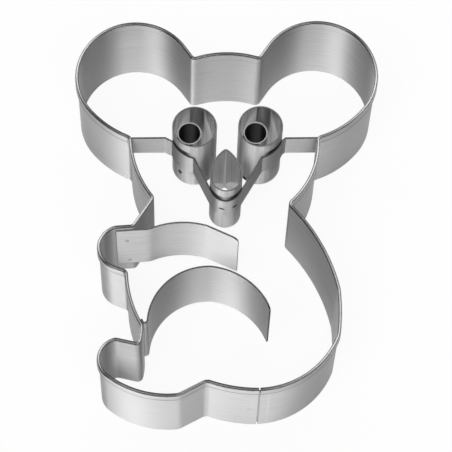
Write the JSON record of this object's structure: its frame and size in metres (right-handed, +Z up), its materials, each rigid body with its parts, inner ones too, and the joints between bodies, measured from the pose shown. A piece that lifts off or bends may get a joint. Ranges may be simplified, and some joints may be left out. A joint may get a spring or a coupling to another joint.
{
  "type": "cookie cutter",
  "caption": "Koala-shaped cookie cutter: a hemmed steel outline band with welded strips and tubes that emboss the face, arm and leg into the dough.",
  "frame": {"origin": "centre of the outline's bounding box, on the plane of the cutting edge", "axes": "+Z up from the cutting edge to the hem, +Y from the feet to the ears, +X to the right as seen from above with the ears away"},
  "size_m": [0.0606, 0.0794, 0.022],
  "materials": {
    "band_steel": "fine brushed stainless strip, satin",
    "strip_steel": "fine brushed stainless strip, satin",
    "tube_steel": "drawn stainless tube, bright"
  },
  "bodies": {
    "root": {"outline_band": "band_steel", "face_strip": "strip_steel", "left_eye_tube": "tube_steel", "right_eye_tube": "tube_steel", "left_pupil_tube": "tube_steel", "right_pupil_tube": "tube_steel", "nose_tube": "tube_steel", "arm_strip": "strip_steel", "leg_strip": "strip_steel"}
  },
  "joints": []
}
